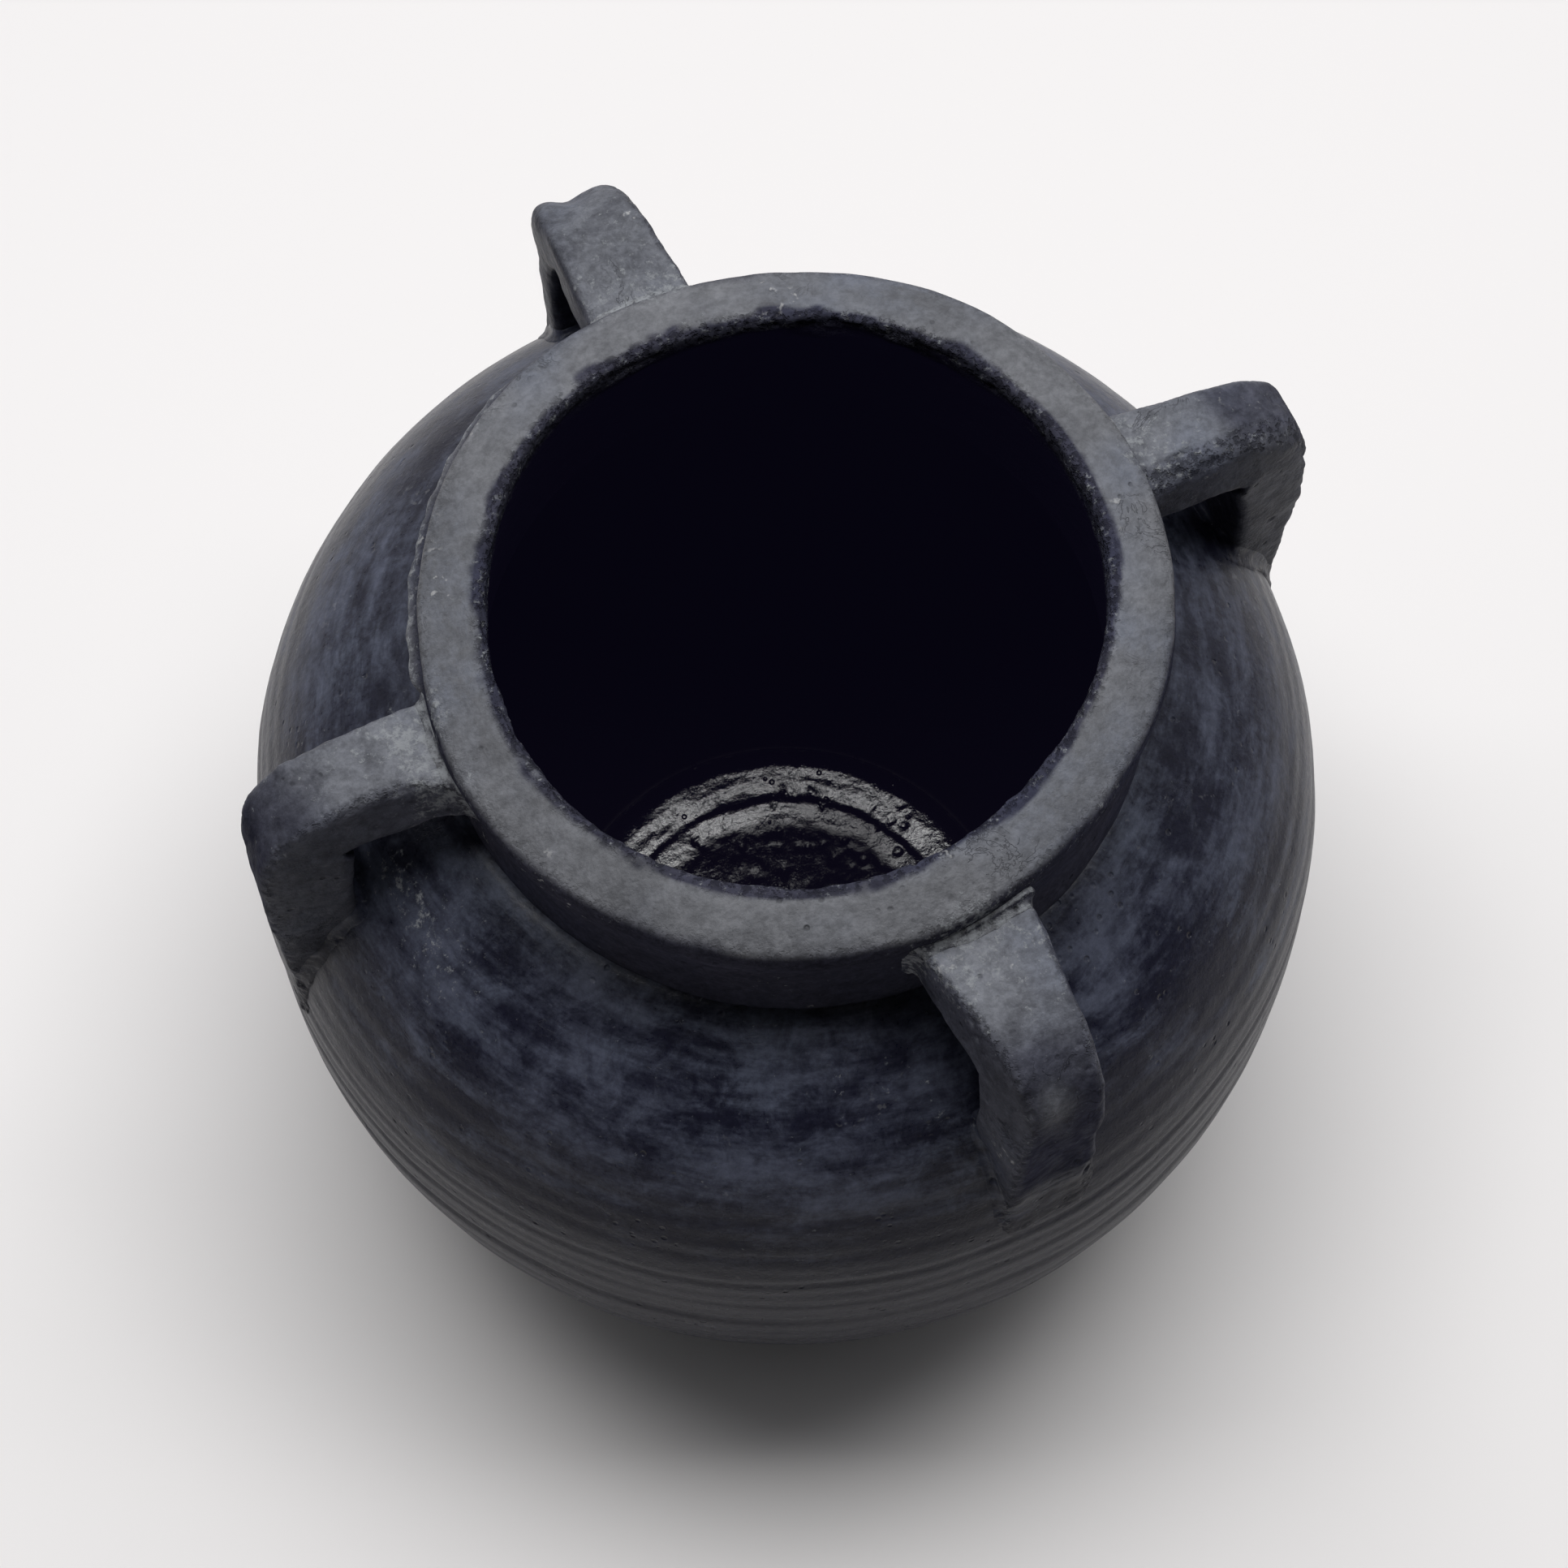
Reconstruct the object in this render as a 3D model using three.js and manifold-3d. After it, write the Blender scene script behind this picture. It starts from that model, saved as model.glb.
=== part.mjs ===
// Four-handled globular clay pot: a thrown body, a thick collar, four strap handles and the pads
// of luting clay that fix the handle ends. Millimetres, +Z up, origin on the table under the axis.

import * as THREE from 'three';
import { mergeVertices } from 'three/addons/utils/BufferGeometryUtils.js';
import Module from 'manifold-3d';

const wasm = await Module();
wasm.setup();

// Driving dimensions.
const FIT_GAP = 0.3;              // clearance between touching pieces
const SEGMENTS = 60;              // facets round the axis

const BELLY_RADIUS = 90;
const BELLY_HEIGHT = 83.5;        // height of the widest circle
const LOWER_POWER = 2.35;         // fullness of the belly below that circle, 2 being an ellipse
const UPPER_POWER = 2.8;          // and above it
const FOOT_RADIUS = 46;           // flat the pot stands on
const WALL = 6.5;
const FLOOR = 6;                  // clay under the middle of the floor
const FLOOR_RADIUS = 46;          // where the floor turns up into the wall
const FLOOR_EDGE_RISE = 2.5;      // and how far it has risen by then
const SEAT_HEIGHT = 141;          // where the collar sits on the body
const SEAT_OUTER_RADIUS = 58;
const SEAT_INNER_RADIUS = 50;

const RIM_HEIGHT = 170.5;
const MOUTH_RADIUS = 48.2;
const RIM_RADIUS = 58.8;
const RIM_SLOPE_DROP = 2.4;       // the rim's top falls this far on its way outwards
const NECK_RADIUS = 57;
const COLLAR_OFFSET = new THREE.Vector2(1.1, -0.5);   // the collar sits slightly off the body's axis

const STRAP_THICKNESS = 12;
const STRAP_EDGE = 1.5;           // bevel of the strap's inner edges
const STRAP_SHOULDER = 4;         // rounding of its outer edges
const STRAP_ROOT_DEPTH = 5;       // how far the strap is modelled into the collar's wall
const STRAP_TOE_HEIGHT = 104;     // where its lower end has run into the shoulder
const PAD_THICKNESS = 3;          // luting clay between a handle end and the wall
const PAD_SPREAD = 1.8;           // how far the luting clay stands out round the strap

// Each handle leaves the collar at `angle` (degrees from +X), runs out level at `top` (its upper
// face), turns down at `reach` (its outer face) and comes back on to the shoulder at `footRadius`.
const HANDLES = [
  { name: 'right', angle: 3, width: 18.6, top: 163, reach: 89.4, footRadius: 87.8 },
  { name: 'back', angle: 89, width: 17.8, top: 163.5, reach: 88, footRadius: 86.4 },
  { name: 'left', angle: 177, width: 17, top: 163, reach: 91.4, footRadius: 89.8 },
  { name: 'front', angle: 273, width: 19, top: 162, reach: 88.6, footRadius: 87.6 },
];

// Materials.
const BURNISHED_CLAY = { color: 0x23252c, roughness: 0.5, metalness: 0 };
const HANDLE_CLAY = { color: 0x2a2c32, roughness: 0.6, metalness: 0 };
const RIM_CLAY = { color: 0x2e3035, roughness: 0.65, metalness: 0 };
const LUTING_CLAY = { color: 0x3a3b3e, roughness: 0.85, metalness: 0 };

// ---------------------------------------------------------------- solids and meshes

function toSolid(geometry) {
  const bare = geometry.clone();
  bare.deleteAttribute('normal');
  bare.deleteAttribute('uv');
  const merged = mergeVertices(bare, 1e-4);
  const vertProperties = new Float32Array(merged.attributes.position.array);
  const triVerts = new Uint32Array(merged.index.array);
  return new wasm.Manifold(new wasm.Mesh({ numProp: 3, vertProperties, triVerts }));
}

function toGeometry(solid) {
  const mesh = solid.getMesh();
  const geometry = new THREE.BufferGeometry();
  geometry.setAttribute('position', new THREE.BufferAttribute(mesh.vertProperties, 3));
  geometry.setIndex(new THREE.BufferAttribute(mesh.triVerts, 1));
  geometry.computeVertexNormals();
  return geometry;
}

function namedMesh(name, geometry, finish) {
  const mesh = new THREE.Mesh(geometry, new THREE.MeshStandardMaterial(finish));
  mesh.name = name;
  return mesh;
}

// Points are [radius, height]; the axis of the lathe is turned from +Y to +Z.
function turned(points) {
  const geometry = new THREE.LatheGeometry(points.map(([r, z]) => new THREE.Vector2(r, z)), SEGMENTS);
  geometry.rotateX(Math.PI / 2);
  return geometry;
}

// Moves every point of an outline sideways, away from the inside of the pot.
function grown(points, distance) {
  return points.map(([r, z], i) => {
    const before = points[Math.max(i - 1, 0)];
    const after = points[Math.min(i + 1, points.length - 1)];
    const run = new THREE.Vector2(after[0] - before[0], after[1] - before[1]).normalize();
    return [r + run.y * distance, z - run.x * distance];
  });
}

// ---------------------------------------------------------------- body

// A belly is two half superellipses on one widest circle: a full, deep one below it and a flatter
// one above, which ends at the collar's seat.
function bellyArc(radius, reach, power, fromAngle, toAngle, count) {
  const points = [];
  for (let i = 0; i <= count; i += 1) {
    const angle = THREE.MathUtils.degToRad(fromAngle + ((toAngle - fromAngle) * i) / count);
    const height = Math.sign(angle) * reach * Math.abs(Math.sin(angle)) ** (2 / power);
    points.push([radius * Math.cos(angle) ** (2 / power), BELLY_HEIGHT + height]);
  }
  return points;
}

// Depth of the superellipse that narrows from `radius` to `end` over `height`.
function arcReach(radius, end, height, power) {
  return height / (1 - (end / radius) ** power) ** (1 / power);
}

// Angle at which such an arc has narrowed to `end`.
function arcAngle(radius, end, power) {
  return THREE.MathUtils.radToDeg(Math.acos((end / radius) ** (power / 2)));
}

// One side of the belly's wall, from `lowRadius` at `lowHeight` up to `highRadius` at `highHeight`.
function bellyWall(radius, [lowRadius, lowHeight], [highRadius, highHeight], count) {
  const lowReach = arcReach(radius, lowRadius, BELLY_HEIGHT - lowHeight, LOWER_POWER);
  const highReach = arcReach(radius, highRadius, highHeight - BELLY_HEIGHT, UPPER_POWER);
  const lowAngle = arcAngle(radius, lowRadius, LOWER_POWER);
  const highAngle = arcAngle(radius, highRadius, UPPER_POWER);
  const lower = bellyArc(radius, lowReach, LOWER_POWER, -lowAngle, 0, count);
  const upper = bellyArc(radius, highReach, UPPER_POWER, 0, highAngle, count);
  return [...lower, ...upper.slice(1)];
}

const OUTSIDE_STEPS = 11;
const INSIDE_STEPS = 8;

const bellyOutline = bellyWall(
  BELLY_RADIUS,
  [FOOT_RADIUS, 0],
  [SEAT_OUTER_RADIUS, SEAT_HEIGHT],
  OUTSIDE_STEPS,
);

const insideOutline = bellyWall(
  BELLY_RADIUS - WALL,
  [FLOOR_RADIUS, FLOOR + FLOOR_EDGE_RISE],
  [SEAT_INNER_RADIUS, SEAT_HEIGHT - WALL],
  INSIDE_STEPS,
).reverse();

// Finger rings left on the floor by throwing: two low crests round a dished middle.
const floorOutline = [
  [42, FLOOR + 1.6],
  [38.5, FLOOR + 2.8],
  [34.5, FLOOR + 0.9],
  [30.5, FLOOR + 2.2],
  [25, FLOOR + 0.3],
  [0, FLOOR],
];

function bodyGeometry() {
  const seatLip = [SEAT_INNER_RADIUS, SEAT_HEIGHT];
  return turned([[0, 0], ...bellyOutline, seatLip, ...insideOutline, ...floorOutline]);
}

// ---------------------------------------------------------------- collar

// The collar's outside, from its seat up to the outer edge of the rim.
const neckOutline = [
  [NECK_RADIUS, SEAT_HEIGHT + FIT_GAP],
  [NECK_RADIUS - 0.3, RIM_HEIGHT - 21.5],
  [NECK_RADIUS + 0.5, RIM_HEIGHT - 14.5],
  [RIM_RADIUS - 0.3, RIM_HEIGHT - 9],
  [RIM_RADIUS, RIM_HEIGHT - 6],
];

// The rim slopes down outwards from the mouth and both its edges are rounded.
const rimOutline = [
  [RIM_RADIUS - 0.8, RIM_HEIGHT - RIM_SLOPE_DROP - 1.6],
  [RIM_RADIUS - 3, RIM_HEIGHT - RIM_SLOPE_DROP],
  [MOUTH_RADIUS + 3, RIM_HEIGHT - 0.3],
  [MOUTH_RADIUS + 1, RIM_HEIGHT],
  [MOUTH_RADIUS, RIM_HEIGHT - 1.2],
  [MOUTH_RADIUS - 0.1, RIM_HEIGHT - 4],
  [MOUTH_RADIUS + 0.6, RIM_HEIGHT - 15.5],
  [SEAT_INNER_RADIUS + 0.5, SEAT_HEIGHT + FIT_GAP],
];

function collarGeometry() {
  const geometry = turned([...neckOutline, ...rimOutline, neckOutline[0]]);
  geometry.translate(COLLAR_OFFSET.x, COLLAR_OFFSET.y, 0);
  return geometry;
}

// ---------------------------------------------------------------- handles and luting pads

// Everything within `distance` of the outside of the body and the collar, filled in.
function wallZone(distance) {
  const belly = grown(bellyOutline, distance);
  const neck = grown(neckOutline, distance);
  const last = belly[belly.length - 1];
  const bellySolid = toSolid(turned([[0, 0], ...belly, [last[0] - distance, last[1]], [0, last[1]]]));
  const neckTop = neck[neck.length - 1];
  const low = SEAT_HEIGHT - 10;
  const high = RIM_HEIGHT + 5;
  const neckShape = turned([[0, low], [NECK_RADIUS + distance, low], ...neck, [neckTop[0], high], [0, high]]);
  neckShape.translate(COLLAR_OFFSET.x, COLLAR_OFFSET.y, 0);
  return bellySolid.add(toSolid(neckShape));
}

// A strap's section: flat where the fingers go, with broad rounded shoulders outside.
function strapSection(width, thickness) {
  const half = width / 2;
  const inner = thickness / 2;
  const outer = -thickness / 2;
  const bend = STRAP_SHOULDER * 0.39;   // a 45 degree point of the rounded outer edge
  const corners = [
    [half - STRAP_EDGE, inner],
    [half, inner - STRAP_EDGE],
    [half - 0.5, outer + STRAP_SHOULDER],
    [half - bend, outer + bend],
    [half - STRAP_SHOULDER, outer],
  ];
  const mirrored = corners.map(([x, y]) => [-x, y]).reverse();
  return new THREE.Shape([...corners, ...mirrored].map(([x, y]) => new THREE.Vector2(x, y)));
}

// The strap's middle line in the handle's own plane, x outwards, from inside the collar's wall
// to inside the shoulder.
function strapPath(handle) {
  const half = STRAP_THICKNESS / 2;
  const middle = handle.top - half;
  const outside = handle.reach - half;
  const footMiddle = handle.footRadius - half;
  return new THREE.CatmullRomCurve3([
    new THREE.Vector3(NECK_RADIUS - STRAP_ROOT_DEPTH, 0, middle - 1.2),
    new THREE.Vector3(NECK_RADIUS + 9, 0, middle),
    new THREE.Vector3(outside - 6.5, 0, middle - 1.2),
    new THREE.Vector3(outside - 1.3, 0, middle - 7),
    new THREE.Vector3(outside, 0, middle - 18),
    new THREE.Vector3(footMiddle, 0, STRAP_TOE_HEIGHT + 11),
    new THREE.Vector3(footMiddle - 1.5, 0, STRAP_TOE_HEIGHT),
  ]);
}

const STRAP_STEPS = 20;

function strapSolid(handle, width, thickness) {
  const geometry = new THREE.ExtrudeGeometry(strapSection(width, thickness), {
    steps: STRAP_STEPS,
    extrudePath: strapPath(handle),
  });
  geometry.rotateZ(THREE.MathUtils.degToRad(handle.angle));
  geometry.translate(COLLAR_OFFSET.x, COLLAR_OFFSET.y, 0);
  return toSolid(geometry);
}

const strapCut = wallZone(PAD_THICKNESS + FIT_GAP);
const padShell = wallZone(PAD_THICKNESS).subtract(wallZone(FIT_GAP));

function handlePieces(handle) {
  const strap = strapSolid(handle, handle.width, STRAP_THICKNESS).subtract(strapCut);
  const spread = strapSolid(handle, handle.width + 2 * PAD_SPREAD, STRAP_THICKNESS + 2 * PAD_SPREAD);
  const pads = spread.intersect(padShell).decompose();
  pads.sort((a, b) => b.boundingBox().max[2] - a.boundingBox().max[2]);
  return [
    namedMesh(`handle_${handle.name}`, toGeometry(strap), HANDLE_CLAY),
    namedMesh(`luting_${handle.name}_rim`, toGeometry(pads[0]), LUTING_CLAY),
    namedMesh(`luting_${handle.name}_shoulder`, toGeometry(pads[1]), LUTING_CLAY),
  ];
}

// ---------------------------------------------------------------- assembly

const pot = new THREE.Group();
pot.add(namedMesh('body', bodyGeometry(), BURNISHED_CLAY));
pot.add(namedMesh('neck_collar', collarGeometry(), RIM_CLAY));
HANDLES.forEach((handle) => pot.add(...handlePieces(handle)));

export default pot;
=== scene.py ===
"""Black clay pot with a thick collar and four strap handles.

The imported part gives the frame. Each CAD node is stood for by a closed, worked mesh: turned walls for
the body and the collar, and carved volumes for the straps and the clay smeared round their ends.
Lengths are millimetres until a mesh is made.
"""

import math

import bpy
import numpy as np
import openvdb
from mathutils import Matrix, Vector


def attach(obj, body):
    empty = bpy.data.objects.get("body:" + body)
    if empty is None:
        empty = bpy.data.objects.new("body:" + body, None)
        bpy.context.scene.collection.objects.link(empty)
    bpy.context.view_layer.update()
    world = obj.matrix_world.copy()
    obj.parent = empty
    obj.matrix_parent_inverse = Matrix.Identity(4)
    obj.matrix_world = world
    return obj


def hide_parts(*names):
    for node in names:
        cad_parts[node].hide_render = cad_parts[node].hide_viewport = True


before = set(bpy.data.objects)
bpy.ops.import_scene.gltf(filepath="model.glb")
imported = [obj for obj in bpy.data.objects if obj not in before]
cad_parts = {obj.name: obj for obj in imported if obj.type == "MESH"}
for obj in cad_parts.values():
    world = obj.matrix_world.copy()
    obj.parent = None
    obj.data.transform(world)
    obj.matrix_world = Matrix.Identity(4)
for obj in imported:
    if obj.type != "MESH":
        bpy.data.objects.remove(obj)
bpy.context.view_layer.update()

MM = 0.001

# ------------------------------------------------------------------ dimensions, as in the CAD part

BELLY_RADIUS = 90.0
BELLY_HEIGHT = 83.5
LOWER_POWER = 2.35
UPPER_POWER = 2.8
FOOT_RADIUS = 46.0
FLOOR_RADIUS = 46.0
FLOOR_EDGE_HEIGHT = 8.5
WALL = 6.5
SEAT_HEIGHT = 141.0
SEAT_OUTER_RADIUS = 58.0
SEAT_INNER_RADIUS = 50.0
RIM_HEIGHT = 170.5
MOUTH_RADIUS = 48.2
NECK_RADIUS = 57.0
RIM_RADIUS = 58.8
COLLAR_CENTRE = np.array([1.1, -0.5])


# ------------------------------------------------------------------ repeatable noise

def lattice(cell, seed):
    """A repeatable number from 0 to 1 for each whole-number point."""
    x, y, z = (cell[..., k].astype(np.int64) & 0xFFFF for k in range(3))
    h = (x * 374761393 + y * 668265263 + z * 1274126177 + seed * 97531) & 0xFFFFFFFF
    h = ((h ^ (h >> 13)) * 1103515245) & 0xFFFFFFFF
    h = ((h ^ (h >> 15)) * 668265263) & 0xFFFFFFFF
    return ((h ^ (h >> 16)) & 0xFFFFFF) / float(0xFFFFFF)


TILT = np.array([[0.36, 0.48, -0.80], [-0.80, 0.60, 0.0], [0.48, 0.64, 0.60]])


def noise(points, size, seed):
    """Smooth noise from -1 to 1 whose lumps are about `size` across."""
    q = points @ TILT.T / size
    cell = np.floor(q)
    f = q - cell
    f = f * f * (3 - 2 * f)
    total = np.zeros(points.shape[:-1])
    for corner in np.ndindex(2, 2, 2):
        share = np.ones(points.shape[:-1])
        for k, one in enumerate(corner):
            share = share * (f[..., k] if one else 1 - f[..., k])
        total += share * lattice(cell + np.array(corner), seed)
    return 2 * total - 1


def fractal(points, size, seed, octaves=4, keep=0.5):
    total, weight = 0.0, 0.0
    turned = points
    for k in range(octaves):
        total = total + keep ** k * noise(turned, size / 2 ** k, seed + 17 * k)
        weight += keep ** k
        turned = turned @ TILT.T
    return total / weight


def grains(points, size, seed):
    """Distance to the nearest of scattered points, in units of `size`, and that point's own number."""
    q = points / size
    cell = np.floor(q)
    nearest = np.full(points.shape[:-1], 9.0)
    own = np.zeros(points.shape[:-1])
    for step in np.ndindex(3, 3, 3):
        there = cell + np.array(step) - 1
        place = np.stack([lattice(there, seed + k) for k in range(3)], -1) + there
        gap = np.linalg.norm(place - q, axis=-1)
        closer = gap < nearest
        nearest = np.where(closer, gap, nearest)
        own = np.where(closer, lattice(there, seed + 5), own)
    return nearest, own


def pits(points, size, seed, share, radius=0.45):
    """Round-bottomed holes, 0 to 1 deep, at `share` of the scattered points."""
    gap, own = grains(points, size, seed)
    reach = radius * (0.5 + 0.5 * own / max(share, 1e-6))
    return np.where(own < share, np.clip(1 - (gap / reach) ** 2, 0, 1), 0.0)


def smooth(low, high, value):
    t = np.clip((value - low) / (high - low), 0, 1)
    return t * t * (3 - 2 * t)


def bell(value, centre, width):
    return np.exp(-(((value - centre) / width) ** 2))


# ------------------------------------------------------------------ wall shapes

def arc_reach(radius, end, height, power):
    return height / (1 - (end / radius) ** power) ** (1 / power)


OUTER_LOW_REACH = arc_reach(BELLY_RADIUS, FOOT_RADIUS, BELLY_HEIGHT, LOWER_POWER)
OUTER_HIGH_REACH = arc_reach(BELLY_RADIUS, SEAT_OUTER_RADIUS, SEAT_HEIGHT - BELLY_HEIGHT, UPPER_POWER)


def wall_arc(radius, end, height, power, up, count):
    """Half a superellipse from its widest circle to where it has narrowed to `end`."""
    reach = arc_reach(radius, end, height, power)
    last = math.acos((end / radius) ** (power / 2))
    t = np.linspace(0, last, count)
    radii = radius * np.cos(t) ** (2 / power)
    heights = BELLY_HEIGHT + up * reach * np.sin(t) ** (2 / power)
    return np.stack([radii, heights], -1)


def resampled(points, spacing):
    """Points along a line of corners; `spacing` is a length or a function of the point."""
    points = np.asarray(points, float)
    run = np.r_[0, np.cumsum(np.linalg.norm(np.diff(points, axis=0), axis=1))]
    at, stops = 0.0, [0.0]
    while at < run[-1]:
        here = [np.interp(at, run, points[:, k]) for k in range(2)]
        at += spacing(*here) if callable(spacing) else spacing
        stops.append(at)
    stops = np.array(stops) * run[-1] / stops[-1]
    return np.stack([np.interp(stops, run, points[:, k]) for k in range(2)], -1)


def rounded(corners, rounds=3, closed=False):
    """Corner cutting, which turns a few corners into a smooth line."""
    points = np.asarray(corners, float)
    for _ in range(rounds):
        after = np.roll(points, -1, axis=0) if closed else points[1:]
        before = points if closed else points[:-1]
        cut = np.stack([0.75 * before + 0.25 * after, 0.25 * before + 0.75 * after], 1).reshape(-1, 2)
        points = cut if closed else np.vstack([points[:1], cut, points[-1:]])
    return points


def body_distance(x, y, z):
    """Distance outside the body's plain outer wall, near enough close to it."""
    r = np.hypot(x, y)
    low = z < BELLY_HEIGHT
    power = np.where(low, LOWER_POWER, UPPER_POWER)
    reach = np.where(low, OUTER_LOW_REACH, OUTER_HIGH_REACH)
    h = np.abs(z - BELLY_HEIGHT) / reach
    value = (r / BELLY_RADIUS) ** power + h ** power
    slope_r = power / BELLY_RADIUS * (r / BELLY_RADIUS) ** (power - 1)
    slope_z = power / reach * h ** (power - 1)
    return (value - 1) / np.maximum(np.hypot(slope_r, slope_z), 1e-6)


NECK_PROFILE = [  # height, radius of the collar's outer wall
    (SEAT_HEIGHT - 4, NECK_RADIUS + 0.4), (SEAT_HEIGHT, NECK_RADIUS), (149.0, NECK_RADIUS - 0.3),
    (156.0, NECK_RADIUS + 0.5), (161.5, RIM_RADIUS - 0.3), (164.5, RIM_RADIUS), (RIM_HEIGHT + 4, RIM_RADIUS),
]


def collar_distance(x, y, z):
    r = np.hypot(x - COLLAR_CENTRE[0], y - COLLAR_CENTRE[1])
    return np.maximum(r - np.interp(z, *zip(*NECK_PROFILE)), SEAT_HEIGHT - 3 - z)


# ------------------------------------------------------------------ meshes

def mesh_object(name, points, faces, body="root"):
    """A smooth-shaded object from points in millimetres."""
    mesh = bpy.data.meshes.new(name)
    quads = np.asarray(faces, np.int32)
    mesh.vertices.add(len(points))
    mesh.vertices.foreach_set("co", (np.asarray(points) * MM).astype(np.float32).ravel())
    flat = quads.ravel()
    keep = np.ones(len(flat), bool)
    if quads.shape[1] == 4:
        repeated = quads[:, 3] == quads[:, 2]
        keep = np.ones(quads.shape, bool)
        keep[repeated, 3] = False
        keep = keep.ravel()
        sizes = np.where(repeated, 3, 4)
    else:
        sizes = np.full(len(quads), 3)
    flat = flat[keep]
    mesh.loops.add(len(flat))
    mesh.loops.foreach_set("vertex_index", flat)
    mesh.polygons.add(len(quads))
    mesh.polygons.foreach_set("loop_start", np.r_[0, np.cumsum(sizes)[:-1]].astype(np.int32))
    mesh.polygons.foreach_set("loop_total", sizes.astype(np.int32))
    mesh.polygons.foreach_set("use_smooth", np.ones(len(quads), bool))
    mesh.update(calc_edges=True)
    mesh.validate()
    made = bpy.data.objects.new(name, mesh)
    bpy.context.scene.collection.objects.link(made)
    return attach(made, body)


def vertex_normals(obj):
    got = np.zeros(len(obj.data.vertices) * 3, np.float32)
    obj.data.vertices.foreach_get("normal", got)
    return got.reshape(-1, 3).astype(float)


def vertex_places(obj):
    got = np.zeros(len(obj.data.vertices) * 3, np.float32)
    obj.data.vertices.foreach_get("co", got)
    return got.reshape(-1, 3).astype(float) / MM


def push(obj, amount):
    """Moves each point along its normal by `amount` millimetres."""
    moved = vertex_places(obj) + vertex_normals(obj) * amount[:, None]
    obj.data.vertices.foreach_set("co", (moved * MM).astype(np.float32).ravel())
    obj.data.update()


def paint(obj, name, values):
    layer = obj.data.attributes.new(name, "FLOAT", "POINT")
    layer.data.foreach_set("value", np.clip(values, 0, 1).astype(np.float32))


def turned_wall(name, outline, turns, centre=(0, 0), closed=False):
    """The outline, [radius, height] points, turned round an upright axis at `centre`."""
    repeated = np.linalg.norm(np.diff(outline, axis=0), axis=1) < 0.001
    outline = outline[np.r_[True, ~repeated]]
    rows = len(outline)
    angles = np.linspace(0, 2 * np.pi, turns, endpoint=False)
    ring = np.stack([np.cos(angles), np.sin(angles)], -1)
    places = np.empty((rows, turns, 3))
    places[..., :2] = outline[:, None, :1] * ring + np.asarray(centre)
    places[..., 2] = outline[:, None, 1]
    index = np.arange(rows * turns).reshape(rows, turns)
    points = places.reshape(-1, 3)
    if not closed:
        poles = np.array([[*centre, outline[0, 1]], [*centre, outline[-1, 1]]])
        points = np.vstack([points[turns:-turns], poles])
        index = index - turns
        index[0] = len(points) - 2
        index[-1] = len(points) - 1
    lower = index if closed else index[:-1]
    upper = np.roll(index, -1, axis=0) if closed else index[1:]
    a, b = lower, np.roll(lower, -1, axis=1)
    c, d = np.roll(upper, -1, axis=1), upper
    faces = np.stack([a, b, c, d], -1).reshape(-1, 4)
    if not closed:
        first = faces[:, 0] == faces[:, 1]
        faces[first] = faces[first][:, [0, 2, 3, 3]]
    return mesh_object(name, points, faces)


def carved(distance, low, step):
    """Points and faces round the places where `distance`, sampled on a grid, is below zero."""
    grid = openvdb.FloatGrid(background=3.0)
    grid.copyFromArray(np.clip(distance, -3, 3).astype(np.float32))
    places, quads = grid.convertToQuads(isovalue=0.0)
    return np.asarray(places, float) * step + low, np.asarray(quads)


# ------------------------------------------------------------------ body

BODY_TURNS = 560
GROOVES = [  # height, depth, half width of the throwing rings that show
    (121.0, 0.12, 1.6), (116.6, 0.20, 1.5), (112.0, 0.12, 1.4), (107.2, 0.20, 1.4), (101.4, 0.14, 1.3),
    (97.4, 0.50, 1.1), (92.2, 0.20, 1.3), (86.6, 0.46, 1.2), (81.0, 0.16, 1.4), (75.6, 0.60, 1.6),
    (66.5, 0.25, 1.4), (57.5, 0.55, 1.7), (47.0, 0.32, 1.6), (36.0, 0.36, 1.7), (26.0, 0.26, 1.7),
    (17.0, 0.30, 1.6),
]
SMEARS = [  # angle, reach in degrees, distance from the axis, reach, strength of the pale smears of slip
    (190.0, 12.0, 70.0, 6.0, 0.8), (-6.0, 6.0, 66.0, 3.5, 0.62), (263.0, 5.0, 72.0, 5.0, 0.6),
    (284.0, 3.0, 66.0, 4.0, 0.5), (255.0, 6.0, 67.0, 3.0, 0.45), (165.0, 7.0, 64.0, 3.0, 0.5),
]


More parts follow.
